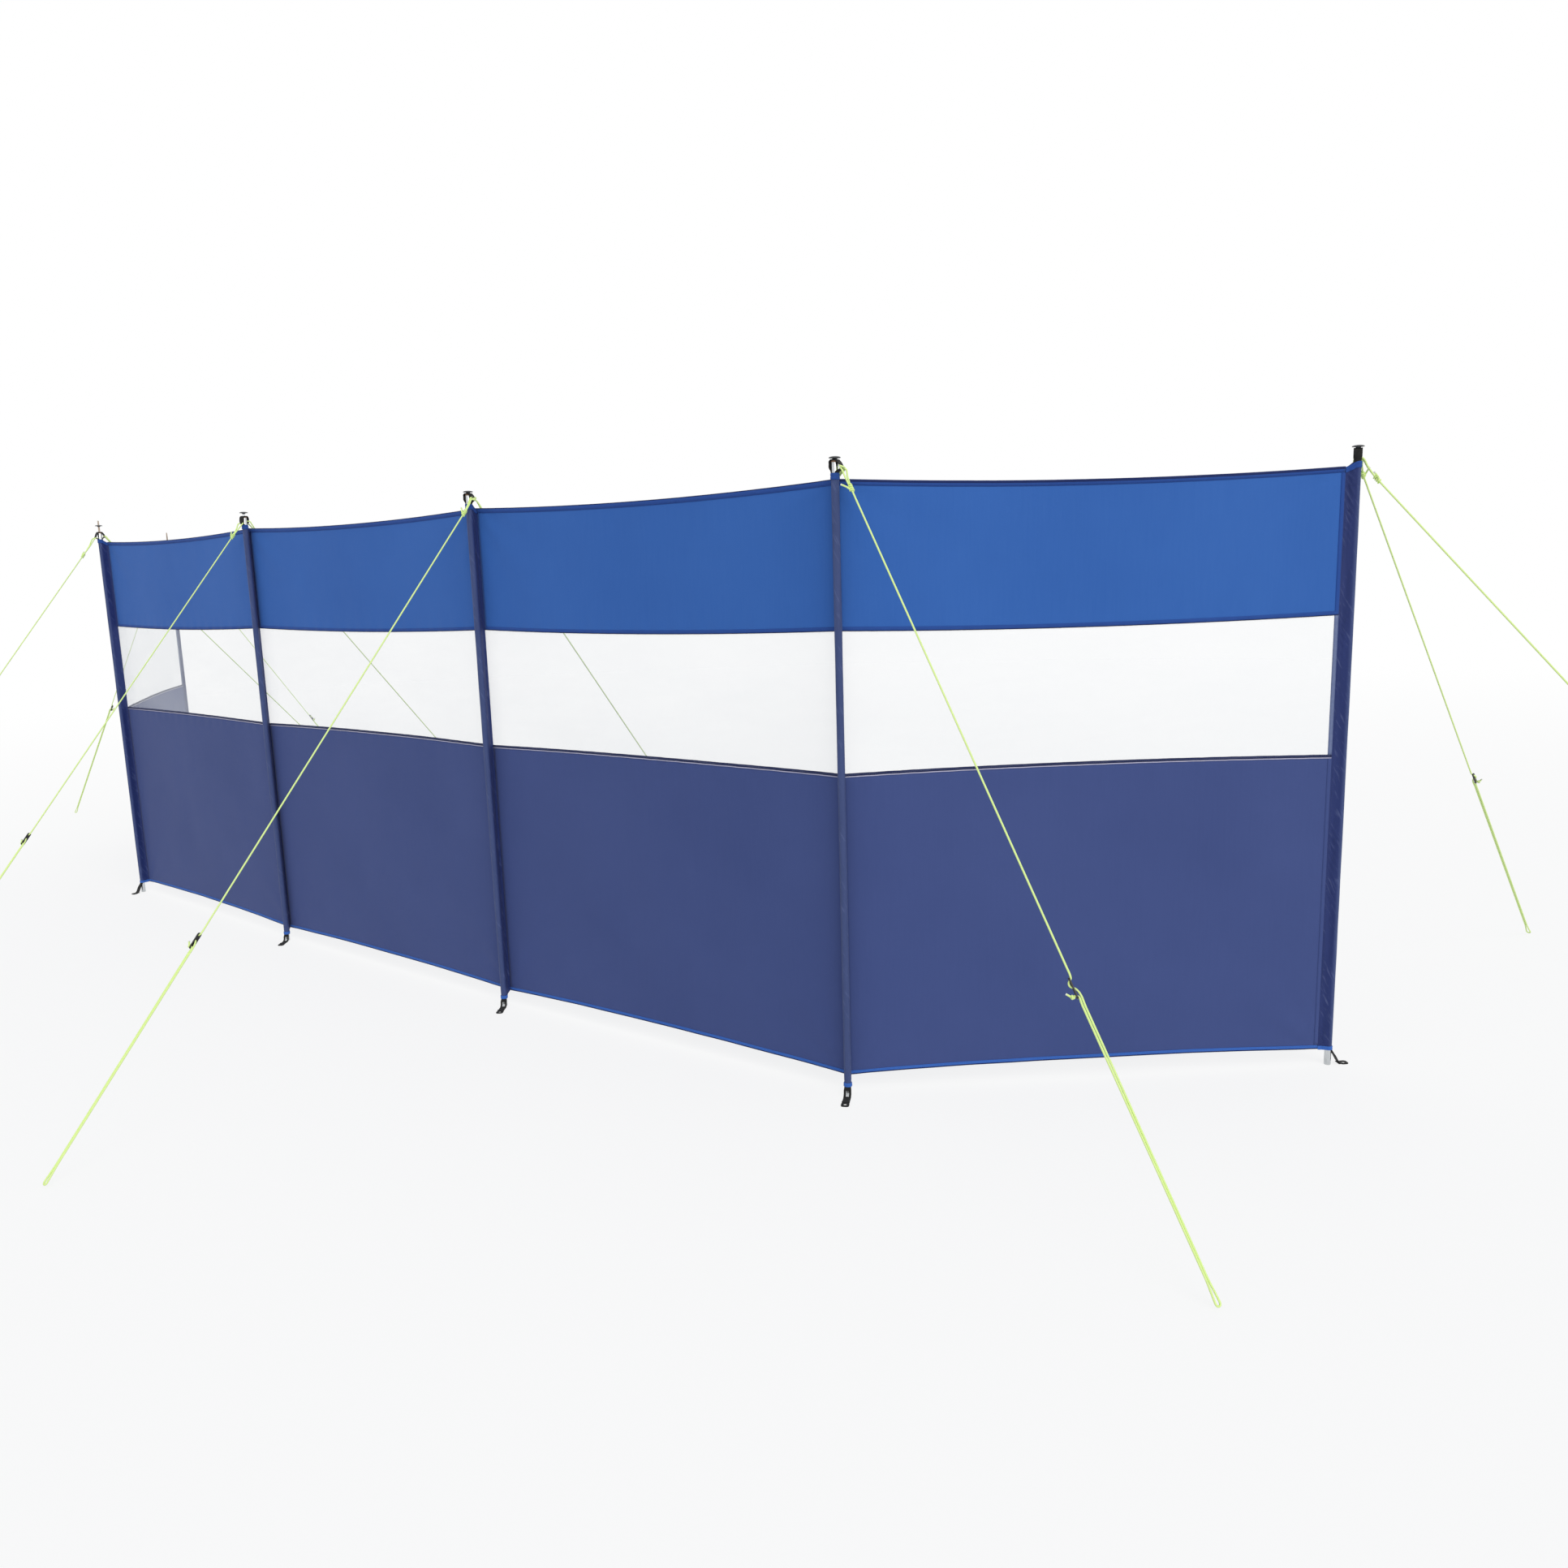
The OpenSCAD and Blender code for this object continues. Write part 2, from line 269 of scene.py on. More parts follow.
def spline(points, step=0.003):
    """Smooth path through the points, without overshoot at uneven gaps."""
    points = taut(points)
    gaps = [(q - p).length for p, q in zip(points, points[1:])]
    slopes = [(q - p) / g for p, q, g in zip(points, points[1:], gaps)]
    turns = [slopes[0]]
    for k in range(1, len(slopes)):
        share = gaps[k - 1] / (gaps[k - 1] + gaps[k])
        turns.append(slopes[k - 1] * (1 - share) + slopes[k] * share)
    turns.append(slopes[-1])
    path = []
    for k, gap in enumerate(gaps):
        count = 4 if gap > 0.04 else max(2, round(gap / step))
        for n in range(count):
            t = n / count
            path.append(points[k] * (1 + 2 * t) * (1 - t) ** 2 + turns[k] * (gap * t * (1 - t) ** 2)
                        + points[k + 1] * (t * t * (3 - 2 * t)) - turns[k + 1] * (gap * t * t * (1 - t)))
    return path + [points[-1]]


CORNER_STEPS, HOLE_STEPS = 5, 20


def rounded(length, width, corner):
    """Rectangle with rounded corners, counter-clockwise."""
    outline = []
    for k, (sx, sy) in enumerate(((1, 1), (-1, 1), (-1, -1), (1, -1))):
        for n in range(CORNER_STEPS + 1):
            a = pi / 2 * (k + n / CORNER_STEPS)
            outline.append((sx * (length / 2 - corner) + corner * cos(a),
                            sy * (width / 2 - corner) + corner * sin(a)))
    return outline


def circle(x, radius):
    return [(x + radius * c, radius * s) for c, s in compass(HOLE_STEPS)]


# Materials

def colour(code):
    """Linear colour of a six-digit sRGB code."""
    parts = [int(code[k:k + 2], 16) / 255 for k in (0, 2, 4)]
    return tuple(c / 12.92 if c <= 0.04045 else ((c + 0.055) / 1.055) ** 2.4 for c in parts) + (1.0,)


class Nodes:
    """Adds nodes to one tree; an input is a value, a colour's code or a socket to link."""

    def __init__(self, owner):
        owner.use_nodes = True
        self.tree = owner.node_tree

    def node(self, kind, inputs=(), **settings):
        made = self.tree.nodes.new(kind)
        for key, value in settings.items():
            setattr(made, key, value)
        for key, value in dict(inputs).items():
            if isinstance(value, bpy.types.NodeSocket):
                self.tree.links.new(value, made.inputs[key])
            else:
                made.inputs[key].default_value = colour(value) if isinstance(value, str) else value
        return made

    def math(self, operation, a, b=0.0, **settings):
        return self.node("ShaderNodeMath", {0: a, 1: b}, operation=operation, **settings).outputs[0]

    def ramp(self, value, low, high, start=0.0, end=1.0, **settings):
        """Low to high while the value goes from start to end."""
        inputs = {"Value": value, "From Min": start, "From Max": end, "To Min": low, "To Max": high}
        return self.node("ShaderNodeMapRange", inputs, **settings).outputs[0]

    def seen(self):
        """One for what is seen directly, in a reflection or through the film."""
        path = self.node("ShaderNodeLightPath").outputs
        total = path["Is Camera Ray"]
        for key in ("Is Glossy Ray", "Is Transmission Ray"):
            total = self.math("ADD", total, path[key], use_clamp=True)
        return total


class Paint(Nodes):
    """Builds one material's nodes round its Principled shader."""

    def __init__(self, name, **constants):
        self.mat = bpy.data.materials.new(name)
        super().__init__(self.mat)
        self.shader = self.tree.nodes["Principled BSDF"]
        for key, value in constants.items():
            self.shader.inputs[key.replace("_", " ")].default_value = value

    def uv(self):
        return self.node("ShaderNodeUVMap", uv_map="cloth").outputs[0]

    def place(self):
        return self.node("ShaderNodeTexCoord").outputs["Object"]

    def split(self, vector):
        return self.node("ShaderNodeSeparateXYZ", {0: vector}).outputs

    def noise(self, vector, scale, detail=3.0, rough=0.55):
        return self.node("ShaderNodeTexNoise", {"Vector": vector, "Scale": scale, "Detail": detail,
                                                "Roughness": rough}).outputs["Fac"]

    def stretch(self, vector, scale):
        return self.node("ShaderNodeMapping", {"Vector": vector, "Scale": scale}).outputs[0]

    def wave(self, value, pitch):
        """A sine of the value, one period each pitch metres."""
        return self.math("SINE", self.math("MULTIPLY", value, 2 * pi / pitch))

    def blend(self, factor, a, b):
        return self.node("ShaderNodeMix", {0: factor, 6: a, 7: b}, data_type="RGBA").outputs[2]

    def bump(self, height, strength, distance, under=None):
        inputs = {"Height": height, "Strength": strength, "Distance": distance}
        if under is not None:
            inputs["Normal"] = under
        return self.node("ShaderNodeBump", inputs).outputs[0]

    def link(self, key, socket):
        self.tree.links.new(socket, self.shader.inputs[key])

    def weave(self, u, v, pitch):
        """Height of a plain weave, from minus one to one."""
        return self.math("MULTIPLY", self.wave(u, pitch), self.wave(v, pitch))

    def done(self, tint, rough, normal):
        self.link("Base Color", tint)
        self.link("Roughness", rough)
        self.link("Normal", normal)
        return self.mat

    def woven(self, tint, shade, rough, weave, creases):
        """The tint with painted shade between the threads, and the weave over the creases."""
        tint = self.blend(self.ramp(weave, 0.05, -0.05), tint, shade)
        return self.done(tint, rough, self.bump(weave, 0.35, 0.0002, creases))


def cloth_material(name, main, shade, fade, pitch=0.0007):
    """Woven cloth: plain weave, slow shifts of colour, soft creases and a faint bloom."""
    p = Paint(name, Sheen_Weight=0.07, Sheen_Roughness=0.45, Specular_IOR_Level=0.25)
    uv = p.uv()
    u, v, _ = p.split(uv)
    broad = p.noise(uv, 2.6)
    streaks = p.noise(p.stretch(uv, (160.0, 9.0, 1.0)), 1.0, 2.0)
    tint = p.blend(p.ramp(broad, 0.1, 0.9), main, shade)
    tint = p.blend(p.ramp(streaks, 0.0, 0.22), tint, fade)
    creases = p.bump(p.noise(uv, 34.0, 4.0, 0.6), 0.12, 0.004)
    return p.woven(tint, shade, p.ramp(broad, 0.66, 0.86), p.weave(u, v, pitch), creases)


def sleeve_material():
    """Cloth of the sleeves: paler round the pole, with painted shade in the doubled fold and painted
    highlights in slanting streaks.
    """
    p = Paint("sleeve_cloth", Sheen_Weight=0.06, Sheen_Roughness=0.45, Specular_IOR_Level=0.3)
    uv = p.uv()
    u, v, _ = p.split(uv)
    slow = p.noise(p.stretch(uv, (60.0, 7.0, 1.0)), 1.0)
    # Painted shade: away from the pole's front the doubled fold takes a deeper blue
    away = p.ramp(p.math("ABSOLUTE", u), 0.0, 1.0, 0.009, 0.019, interpolation_type="SMOOTHSTEP")
    front = p.blend(p.ramp(slow, -0.2, 1.2), "415080", "374571")
    fold = p.blend(p.ramp(slow, -0.2, 1.2), "243470", "1b2a5e")
    tint = p.blend(away, front, fold)
    # Painted highlights: pale streaks that slant with the creases, as their lit ridges
    slant = p.math("ADD", v, p.math("MULTIPLY", u, 2.0))
    along = p.math("SUBTRACT", p.math("MULTIPLY", v, 2.0), u)
    skew = p.node("ShaderNodeCombineXYZ", {"X": slant, "Y": p.math("MULTIPLY", along, 0.12)}).outputs[0]
    streak = p.ramp(p.noise(skew, 75.0, 2.0), 0.0, 0.4, 0.58, 0.78)
    tint = p.blend(streak, tint, "6f7aa6")
    creases = p.bump(p.noise(p.stretch(uv, (90.0, 30.0, 1.0)), 1.0, 4.0, 0.6), 0.2, 0.003)
    return p.woven(tint, "262f5c", p.ramp(slow, 0.5, 0.72), p.weave(u, v, 0.0009), creases)


def film_material():
    """Clear soft film with a little haze, thicker along slow ripples."""
    p = Paint("window_film", Base_Color=colour("f4f6f8"), Specular_IOR_Level=0.4)
    uv = p.uv()
    haze = p.ramp(p.noise(p.stretch(uv, (2.0, 7.0, 1.0)), 1.0), 0.10, 0.24)
    p.link("Alpha", haze)
    p.link("Roughness", haze)
    p.link("Normal", p.bump(p.noise(p.stretch(uv, (5.0, 22.0, 1.0)), 1.0, 2.0), 0.2, 0.004))
    return p.mat


def webbing_material():
    """Black webbing with a herringbone of thick threads, dusty in places."""
    p = Paint("webbing", Sheen_Weight=0.05, Specular_IOR_Level=0.25)
    uv = p.uv()
    u, v, _ = p.split(uv)
    slant = p.math("ADD", u, p.math("ABSOLUTE", v))
    ribs = p.wave(slant, 0.0019)
    cords = p.wave(v, 0.0024)
    height = p.math("ADD", ribs, p.math("MULTIPLY", cords, 0.6))
    dust = p.noise(p.place(), 90.0, 4.0)
    tint = p.blend(p.ramp(ribs, 0.05, 0.65), "0d0d0e", "1f1f21")
    tint = p.blend(p.ramp(dust, -0.25, 0.35), tint, "4a4845")
    return p.done(tint, p.ramp(dust, 0.5, 0.8), p.bump(height, 0.5, 0.0004))


def cord_material():
    """Lime braided cord: two crossing sets of strands with grooves between them, painted highlights on
    the strands' crests.
    """
    p = Paint("guy_cord", Sheen_Weight=0.15, Specular_IOR_Level=0.4)
    u, v, _ = p.split(p.uv())
    one = p.wave(p.math("ADD", u, p.math("MULTIPLY", v, 1.4)), 0.0032)
    two = p.wave(p.math("SUBTRACT", u, p.math("MULTIPLY", v, 1.4)), 0.0032)
    braid = p.math("MAXIMUM", one, two)
    grime = p.noise(p.place(), 26.0)
    # Painted highlight: the crests of the strands are pale over the lime of the grooves
    tint = p.blend(p.ramp(braid, 0.0, 1.0), "cdf66c", "f6ffc0")
    tint = p.blend(p.ramp(grime, -0.15, 0.35), tint, "e6ff98")
    return p.done(tint, p.ramp(grime, 0.45, 0.7), p.bump(braid, 0.35, 0.0004))


def steel_material(name, dark, bright, dull, gloss):
    """Drawn steel: fine lines along its length, with dull patches."""
    p = Paint(name, Metallic=1.0)
    place = p.place()
    lines = p.noise(p.stretch(place, (900.0, 900.0, 14.0)), 1.0, 2.0)
    patches = p.noise(place, 45.0, 4.0)
    tint = p.blend(p.ramp(lines, 0.0, 1.0), dark, bright)
    tint = p.blend(p.ramp(patches, -0.4, 0.5), tint, dull)
    return p.done(tint, p.ramp(patches, gloss, gloss + 0.24), p.bump(lines, 0.12, 0.0002))


def moulded_material(name, main, worn, gloss):
    """Moulded plastic: fine grain, rubbed paler and duller in places."""
    p = Paint(name, Specular_IOR_Level=0.5)
    place = p.place()
    grain = p.noise(place, 1400.0, 2.0)
    rub = p.noise(place, 120.0, 5.0, 0.65)
    tint = p.blend(p.ramp(rub, -0.5, 0.7), main, worn)
    return p.done(tint, p.ramp(rub, gloss, gloss + 0.25), p.bump(grain, 0.1, 0.0002))


BLUE = cloth_material("blue_cloth", "3368b8", "2b5ba8", "4474bc")
NAVY = cloth_material("navy_cloth", "42528a", "39487c", "4a5990")
SLEEVE = sleeve_material()
# Deeper blue than the band: painted shade of the doubled hems, which let less light through
HEM_CLOTH = cloth_material("hem_cloth", "28509e", "20438a", "315aa8", 0.0009)
# Painted shade: dark navy for the roll along the top edge and the underside of the bottom binding
HEM_SHADE = cloth_material("painted_hem_shade", "16285f", "101f50", "223674", 0.0009)
BINDING = cloth_material("binding_cloth", "3a6cc2", "2d5cb0", "4f80d0", 0.0011)
PIPING = cloth_material("piping_cloth", "1c2550", "161d42", "2a3464", 0.0011)
THREAD = cloth_material("thread", "2c519c", "21418a", "3c62ac", 0.0012)
PALE_THREAD = cloth_material("pale_thread", "8f97b4", "747d9e", "b4bace", 0.0012)
FILM = film_material()
WELD = moulded_material("weld", "aaa9c4", "d2cfde", 0.25)
FILM_TAPE = moulded_material("film_tape", "5f6c94", "7a86aa", 0.3)
WEBBING = webbing_material()
CORD = cord_material()
CORD_TIP = moulded_material("cord_tip", "e9ecdf", "f6f6ee", 0.3)
STEEL = steel_material("steel", "b4b8bb", "dfe2e4", "8d9190", 0.18)
WORN_STEEL = steel_material("worn_steel", "8f8074", "b0a294", "6f6258", 0.34)
CAP = moulded_material("cap_plastic", "48494b", "76787a", 0.26)
RUNNER = moulded_material("runner_plastic", "0c0c0d", "232325", 0.18)
RING = moulded_material("eyelet", "6b4a35", "8a6a4c", 0.3)


# Cloth of the bays

CLOTH_THICKNESS, CELL, EDGE_CELL = 0.0006, 0.012, 0.009
# How far slow waves, ripples, fans at the corners and puckers at the seams stand out
WAVE, RIPPLE, FAN, PUCKER = 0.0035, 0.0012, 0.0022, 0.0011
# Shares by which the edgings swell and shrink along their run
HEM_PUCKER, WELD_PUCKER = 0.25, 0.5
STITCH = 0.0045
# Rise of a zigzag stitch for its run
ZIGZAG = 0.55


def bow(s):
    return 4 * s * (1 - s)


class Bay:
    """One bay of cloth between two seams, with its waves."""

    def __init__(self, index):
        self.start = SEAMS[index]
        run = SEAMS[index + 1] - self.start
        self.width, self.along = run.length, run.normalized()
        self.out = self.along.cross(UP)
        dice = random.Random(SEED + index)
        self.phase = [dice.uniform(0, 2 * pi) for _ in range(6)]
        self.belly = dice.uniform(0.004, 0.008) * dice.choice((-1, 1))
        self.seed = dice.uniform(0, 50)

    def top(self, x):
        return CLOTH_TOP - TOP_SAG * bow(x / self.width)

    def band_edge(self, x):
        return WINDOW_TOP - SEAM_SAG * bow(x / self.width)

    def panel_edge(self, x):
        return LOWER_TOP + SEAM_RISE * bow(x / self.width)

    def hem(self, x):
        return HEM + HEM_RISE * bow(x / self.width)

    def drape(self, x, z):
        """How far the cloth stands out of the plane of its seams."""
        s = x / self.width
        h = min(1.0, max(0.0, (z - HEM) / (CLOTH_TOP - HEM)))
        out = self.belly * sin(pi * s) * sin(pi * h)
        out += WAVE * drift(x * 2.4, z * 1.7, self.seed)
        out += RIPPLE * drift(x * 9.0, z * 5.0, self.seed + 7)
        corners = [(dx, dz) for dz in (CLOTH_TOP - z, z - HEM) for dx in (x, self.width - x)]
        for k, (dx, dz) in enumerate(corners):
            reach = hypot(dx, dz) + 1e-6
            fan = sin(9 * atan2(dz, dx) + self.phase[k])
            out += FAN * fan * exp(-reach / 0.17) * smooth(reach / 0.05)
        for k, level in enumerate((WINDOW_TOP, LOWER_TOP)):
            near = exp(-abs(z - level) / 0.02)
            if near > 0.01:
                swing = 2.5 * drift(x * 7.0, level, self.seed)
                out += PUCKER * near * sin(2 * pi * x / 0.06 + swing + self.phase[4 + k])
        return out * smooth(x / 0.06) * smooth((self.width - x) / 0.06)

    def point(self, x, z, out=0.0):
        return self.start + self.along * x + UP * z + self.out * (self.drape(x, z) + out)


def steps(length, size):
    count = max(2, round(length / size))
    return [length * k / count for k in range(count + 1)]


def cloth_strip(name, bay, low, high, mat, slot, node):
    """The cloth of a bay between two of its edges."""
    height = high(0) - low(0)
    xs, levels = steps(bay.width, CELL), steps(1.0, CELL / height)
    rows = [[bay.point(x, low(x) + (high(x) - low(x)) * t) for x in xs] for t in levels]
    shape = Shape()
    shape.grid(rows, lambda i, j: (xs[j], low(0) + height * levels[i]))
    obj = shape.build(name, [mat], slot, [node])
    thick = obj.modifiers.new("cloth", "SOLIDIFY")
    thick.thickness, thick.offset = CLOTH_THICKNESS, 0.0
    return obj


def edging(shape, bay, level, outline, mat=0, pucker=HEM_PUCKER):
    """A folded strip along one edge of a bay, with the section of an outline."""
    xs, rows = steps(bay.width, EDGE_CELL), []
    for x in xs:
        z = level(x)
        swell = 1 + pucker * drift(x * 60.0, z, bay.seed)
        shift = 0.5 * pucker * drift(x * 85.0, z, bay.seed + 3)
        rows.append([bay.point(x, z + (up + shift) * MM, out * swell * MM) for out, up in outline])
    runs = [0.0]
    for a, b in zip(outline, outline[1:] + outline[:1]):
        runs.append(runs[-1] + dist(a, b) * MM)
    shape.grid(rows, lambda i, j: (xs[i], runs[j]), closed=True, mat=mat)


def stitch_row(shape, bay, level, up, out, slant=0.0):
    """A row of stitches on both faces of a bay's edging."""
    for n, x in enumerate(steps(bay.width - 0.012, STITCH)):
        x += 0.006
        z = level(x) + up * MM
        along = (bay.along + UP * (slant if n % 2 else -slant)).normalized()
        for face in (1, -1):
            place = bay.point(x, z, face * out * MM)
            shape.stitch(place, along, bay.out * face, STITCH * 0.72, 0.00042)


def mirrored(half):
    """A closed section, out and up in mm, from the half on its outer face."""
    return half + [(-out, up) for out, up in reversed(half) if out]


TOP_HEM = mirrored([(1.0, -13.0), (1.5, -7.0), (1.3, -1.2), (0.6, 0.3)])
TOP_ROLL = mirrored([(1.5, -1.6), (1.7, -0.6), (0.9, 0.5)])
TOP_ROLL_WIDE = mirrored([(1.6, -5.4), (1.9, -4.6), (1.9, -1.4), (1.0, 0.5)])
BAND_HEM = mirrored([(0.9, 9.0), (1.4, 5.0), (1.2, 0.8), (0.0, -0.2)])
BAND_PIPING = mirrored([(1.4, 1.0), (1.7, 0.0), (1.1, -1.1)])
PANEL_HEM = mirrored([(0.9, -0.5), (1.5, 2.5), (1.2, 5.8), (0.0, 6.3)])
PANEL_BEAD = mirrored([(0.6, -0.4), (1.7, -0.8), (2.0, -1.9), (1.5, -2.9), (0.5, -3.1)])
HEM_ROLL = mirrored([(1.6, 2.4), (1.9, 1.4), (1.7, 0.0), (0.7, -1.0)])
HEM_BINDING = mirrored([(1.1, 8.8), (1.7, 5.2), (1.5, 0.8), (0.5, -0.8)])


def rows_of(make, name, bay, mats, slot, rows):
    """One piece of edgings or rows of stitches along edges of a bay."""
    shape = Shape()
    for row in rows:
        make(shape, bay, *row)
    return shape.build(name, mats, slot)


def mean_height(low, high, bay):
    xs = steps(bay.width, 0.05)
    return round(sum(high(x) - low(x) for x in xs) / len(xs), 3)


def bay_cloth(index):
    """The band, window and panel of one bay with their hems, seams and stitching."""
    n = index + 1
    bay = Bay(index)
    band = cloth_strip(f"cloth_band_{n}", bay, bay.band_edge, bay.top, BLUE, "blue_cloth",
                       f"upper_band_{n}")
    film = cloth_strip(f"cloth_window_{n}", bay, bay.panel_edge, bay.band_edge, FILM, "window_film",
                       f"window_{n}")
    panel = cloth_strip(f"cloth_panel_{n}", bay, bay.hem, bay.panel_edge, NAVY, "navy_cloth",
                        f"lower_panel_{n}")

    # The trim's third material is painted shade, on the top roll (wider on the last bay) and on the roll
    # under the binding
    top_roll = TOP_ROLL_WIDE if n == BAYS else TOP_ROLL
    blue_trim = rows_of(edging, f"blue_trim_{n}", bay, [HEM_CLOTH, BINDING, HEM_SHADE], "blue_cloth", [
        (bay.top, TOP_HEM), (bay.top, top_roll, 2), (bay.band_edge, BAND_HEM, 0, WELD_PUCKER),
        (bay.hem, HEM_BINDING, 1), (bay.hem, HEM_ROLL, 2)])
    dark_trim = rows_of(edging, f"navy_trim_{n}", bay, [PIPING], "navy_cloth", [
        (bay.band_edge, BAND_PIPING), (bay.panel_edge, PANEL_HEM, 0, WELD_PUCKER)])
    bead = rows_of(edging, f"weld_bead_{n}", bay, [WELD], "window_film", [(bay.panel_edge, PANEL_BEAD)])
    stitches = rows_of(stitch_row, f"stitches_{n}", bay, [THREAD], "blue_cloth", [
        (bay.top, -7.2, 1.55), (bay.top, -11.4, 1.55), (bay.band_edge, 5.0, 1.5, ZIGZAG),
        (bay.hem, 6.6, 1.65)])
    pale_stitches = rows_of(stitch_row, f"pale_stitches_{n}", bay, [PALE_THREAD], "navy_cloth", [
        (bay.panel_edge, 2.8, 1.6, ZIGZAG)])

    sleeves = [f"sleeve_cloth_{n}", f"sleeve_cloth_{n + 1}"]
    for sheet, low, high, rests_on, with_pieces in (
            (band, bay.band_edge, bay.top, sleeves, [blue_trim, stitches]),
            (film, bay.panel_edge, bay.band_edge, [band, panel], [bead]),
            (panel, bay.hem, bay.panel_edge, sleeves, [dark_trim, pale_stitches])):
        mean_height(low, high, bay)
        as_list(rests_on)
        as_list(with_pieces)


# Sleeves

LOOP_RADIUS = 0.0088
CREASE = 0.0165
FOLD_HALF = 0.0009
FOLD_PITCH = 0.021
# How loosely each sleeve sits on its pole
SLACK = [1.0, 1.1, 0.7, 0.9, 0.3, 1.2]
COLLAR_RADIUS = 0.0103
TAPE_WIDTH = 0.009
# Depth of the folds where the sleeve is one layer, and where its two layers lie together
FREE_FOLD, JOINED_FOLD = 0.0026, 0.0022


class Sleeve:
    """Cloth loop round a pole, drawn in to a flat fold that ends in the bays' seam."""

    def __init__(self, index):
        self.foot = FEET[index]
        run = SEAMS[index] - self.foot
        self.depth, self.back = run.length, run.normalized()
        self.side = UP.cross(self.back)
        self.low, self.high = SLEEVE_BOTTOM[index], SLEEVE_TOP
        self.seed = 3.7 * index + SEED
        self.slack = SLACK[index]
        self.lean = 1 if index == POLES - 1 else -1

    def gather(self, z):
        """Strength of the folds: most at the ends, here and there between them."""
        ends = exp(-(self.high - z) / 0.10) + 0.9 * exp(-(z - self.low) / 0.08)
        return ends + 0.75 * smooth(2.8 * drift(z * 4.3, self.seed, 0) - 0.2)

    def wrinkle(self, x, z, face):
        """Steep slanting folds across the sleeve with sharp ridges, from zero to one."""
        swing = 1.3 * drift(z * 14.0, x * 40.0, self.seed + face)
        return (1 - abs(sin(pi * (z - 2 * x * face) / FOLD_PITCH + swing))) ** 2

    def ring(self, z, swell=0.0):
        """Points round the sleeve at one height, from seam to seam."""
        inside = smooth((z - HEM + 0.012) / 0.012)
        crease = CREASE + 0.0035 * drift(z * 3.6, self.seed, 9)
        slope = (self.high - CLOTH_TOP + 0.002) * smooth((z - CLOTH_TOP + 0.05) / 0.06)
        radius = LOOP_RADIUS + swell + 0.0004 * drift(z * 11.0, self.seed, 5)
        half = FOLD_HALF + swell
        bend = Vector((crease, half))
        loop = arc(radius, acos(radius / crease), 12)
        flat_end = min(crease + 0.003, self.depth - 0.002)
        section = [Vector((self.depth + (flat_end - self.depth) * k / 7, half)) for k in range(8)]
        section += [section[7] * (1 - t) ** 2 + bend * 2 * t * (1 - t) + loop[0] * t * t
                    for t in (k / 7 for k in range(1, 7))]
        section += loop
        bare = arc(radius, 0, len(section) - 1)
        half_ring = [c.lerp(s, inside) for c, s in zip(bare, section)]
        both = [(p.x, p.y, 1) for p in half_ring] + [(p.x, -p.y, -1) for p in reversed(half_ring[:-1])]
        ends = smooth((z - self.low) / 0.015) * smooth((self.high - z) / 0.02)
        amount = self.slack * self.gather(z) * ends
        ring = []
        for x, y, face in both:
            loose = smooth((x - 0.001) / 0.008)
            sewn = smooth((self.depth - x) / 0.008) * inside
            flat_share = smooth((x - 0.013) / 0.006)
            free = FREE_FOLD * amount * loose * (1 - flat_share) * face * self.wrinkle(x, z, face)
            joined = JOINED_FOLD * amount * flat_share * sewn * (self.wrinkle(x, z, self.lean) - 0.35)
            level = z - slope * smooth(x / self.depth)
            ring.append(self.foot + self.back * x + UP * level + self.side * (y + free + joined))
        return ring

    def shell(self, z_low, z_high, cell, swell=0.0, bulge=None):
        """Rows of the sleeve between two heights, with the girth and height of each point."""
        zs = [z_low + z for z in steps(z_high - z_low, cell)]
        rows = [self.ring(z, swell + (bulge(z) if bulge else 0.0)) for z in zs]
        girth = [0.0]
        for a, b in zip(rows[len(rows) // 2], rows[len(rows) // 2][1:]):
            girth.append(girth[-1] + (b - a).length)
        return rows, girth, zs


def seam_tape(shape, bay, x_low, x_high):
    """Flat tapes over the joint of an end sleeve with its panel, window and band."""
    section = [(x_low, 0.0), (x_low + 0.0004, 0.0013), (x_high - 0.0004, 0.0011), (x_high, 0.0),
               (x_high - 0.0004, -0.0011), (x_low + 0.0004, -0.0013)]
    zones = ((HEM + 0.011, LOWER_TOP), (LOWER_TOP + 0.006, WINDOW_TOP), (WINDOW_TOP, CLOTH_TOP - 0.013))
    for mat, (z_low, z_high) in enumerate(zones):
        zs = [z_low + z for z in steps(z_high - z_low, 0.008)]
        rows = [[bay.point(x, z, out) for x, out in section] for z in zs]
        shape.grid(rows, lambda i, j: (j * 0.004, zs[i]), closed=True, mat=mat)


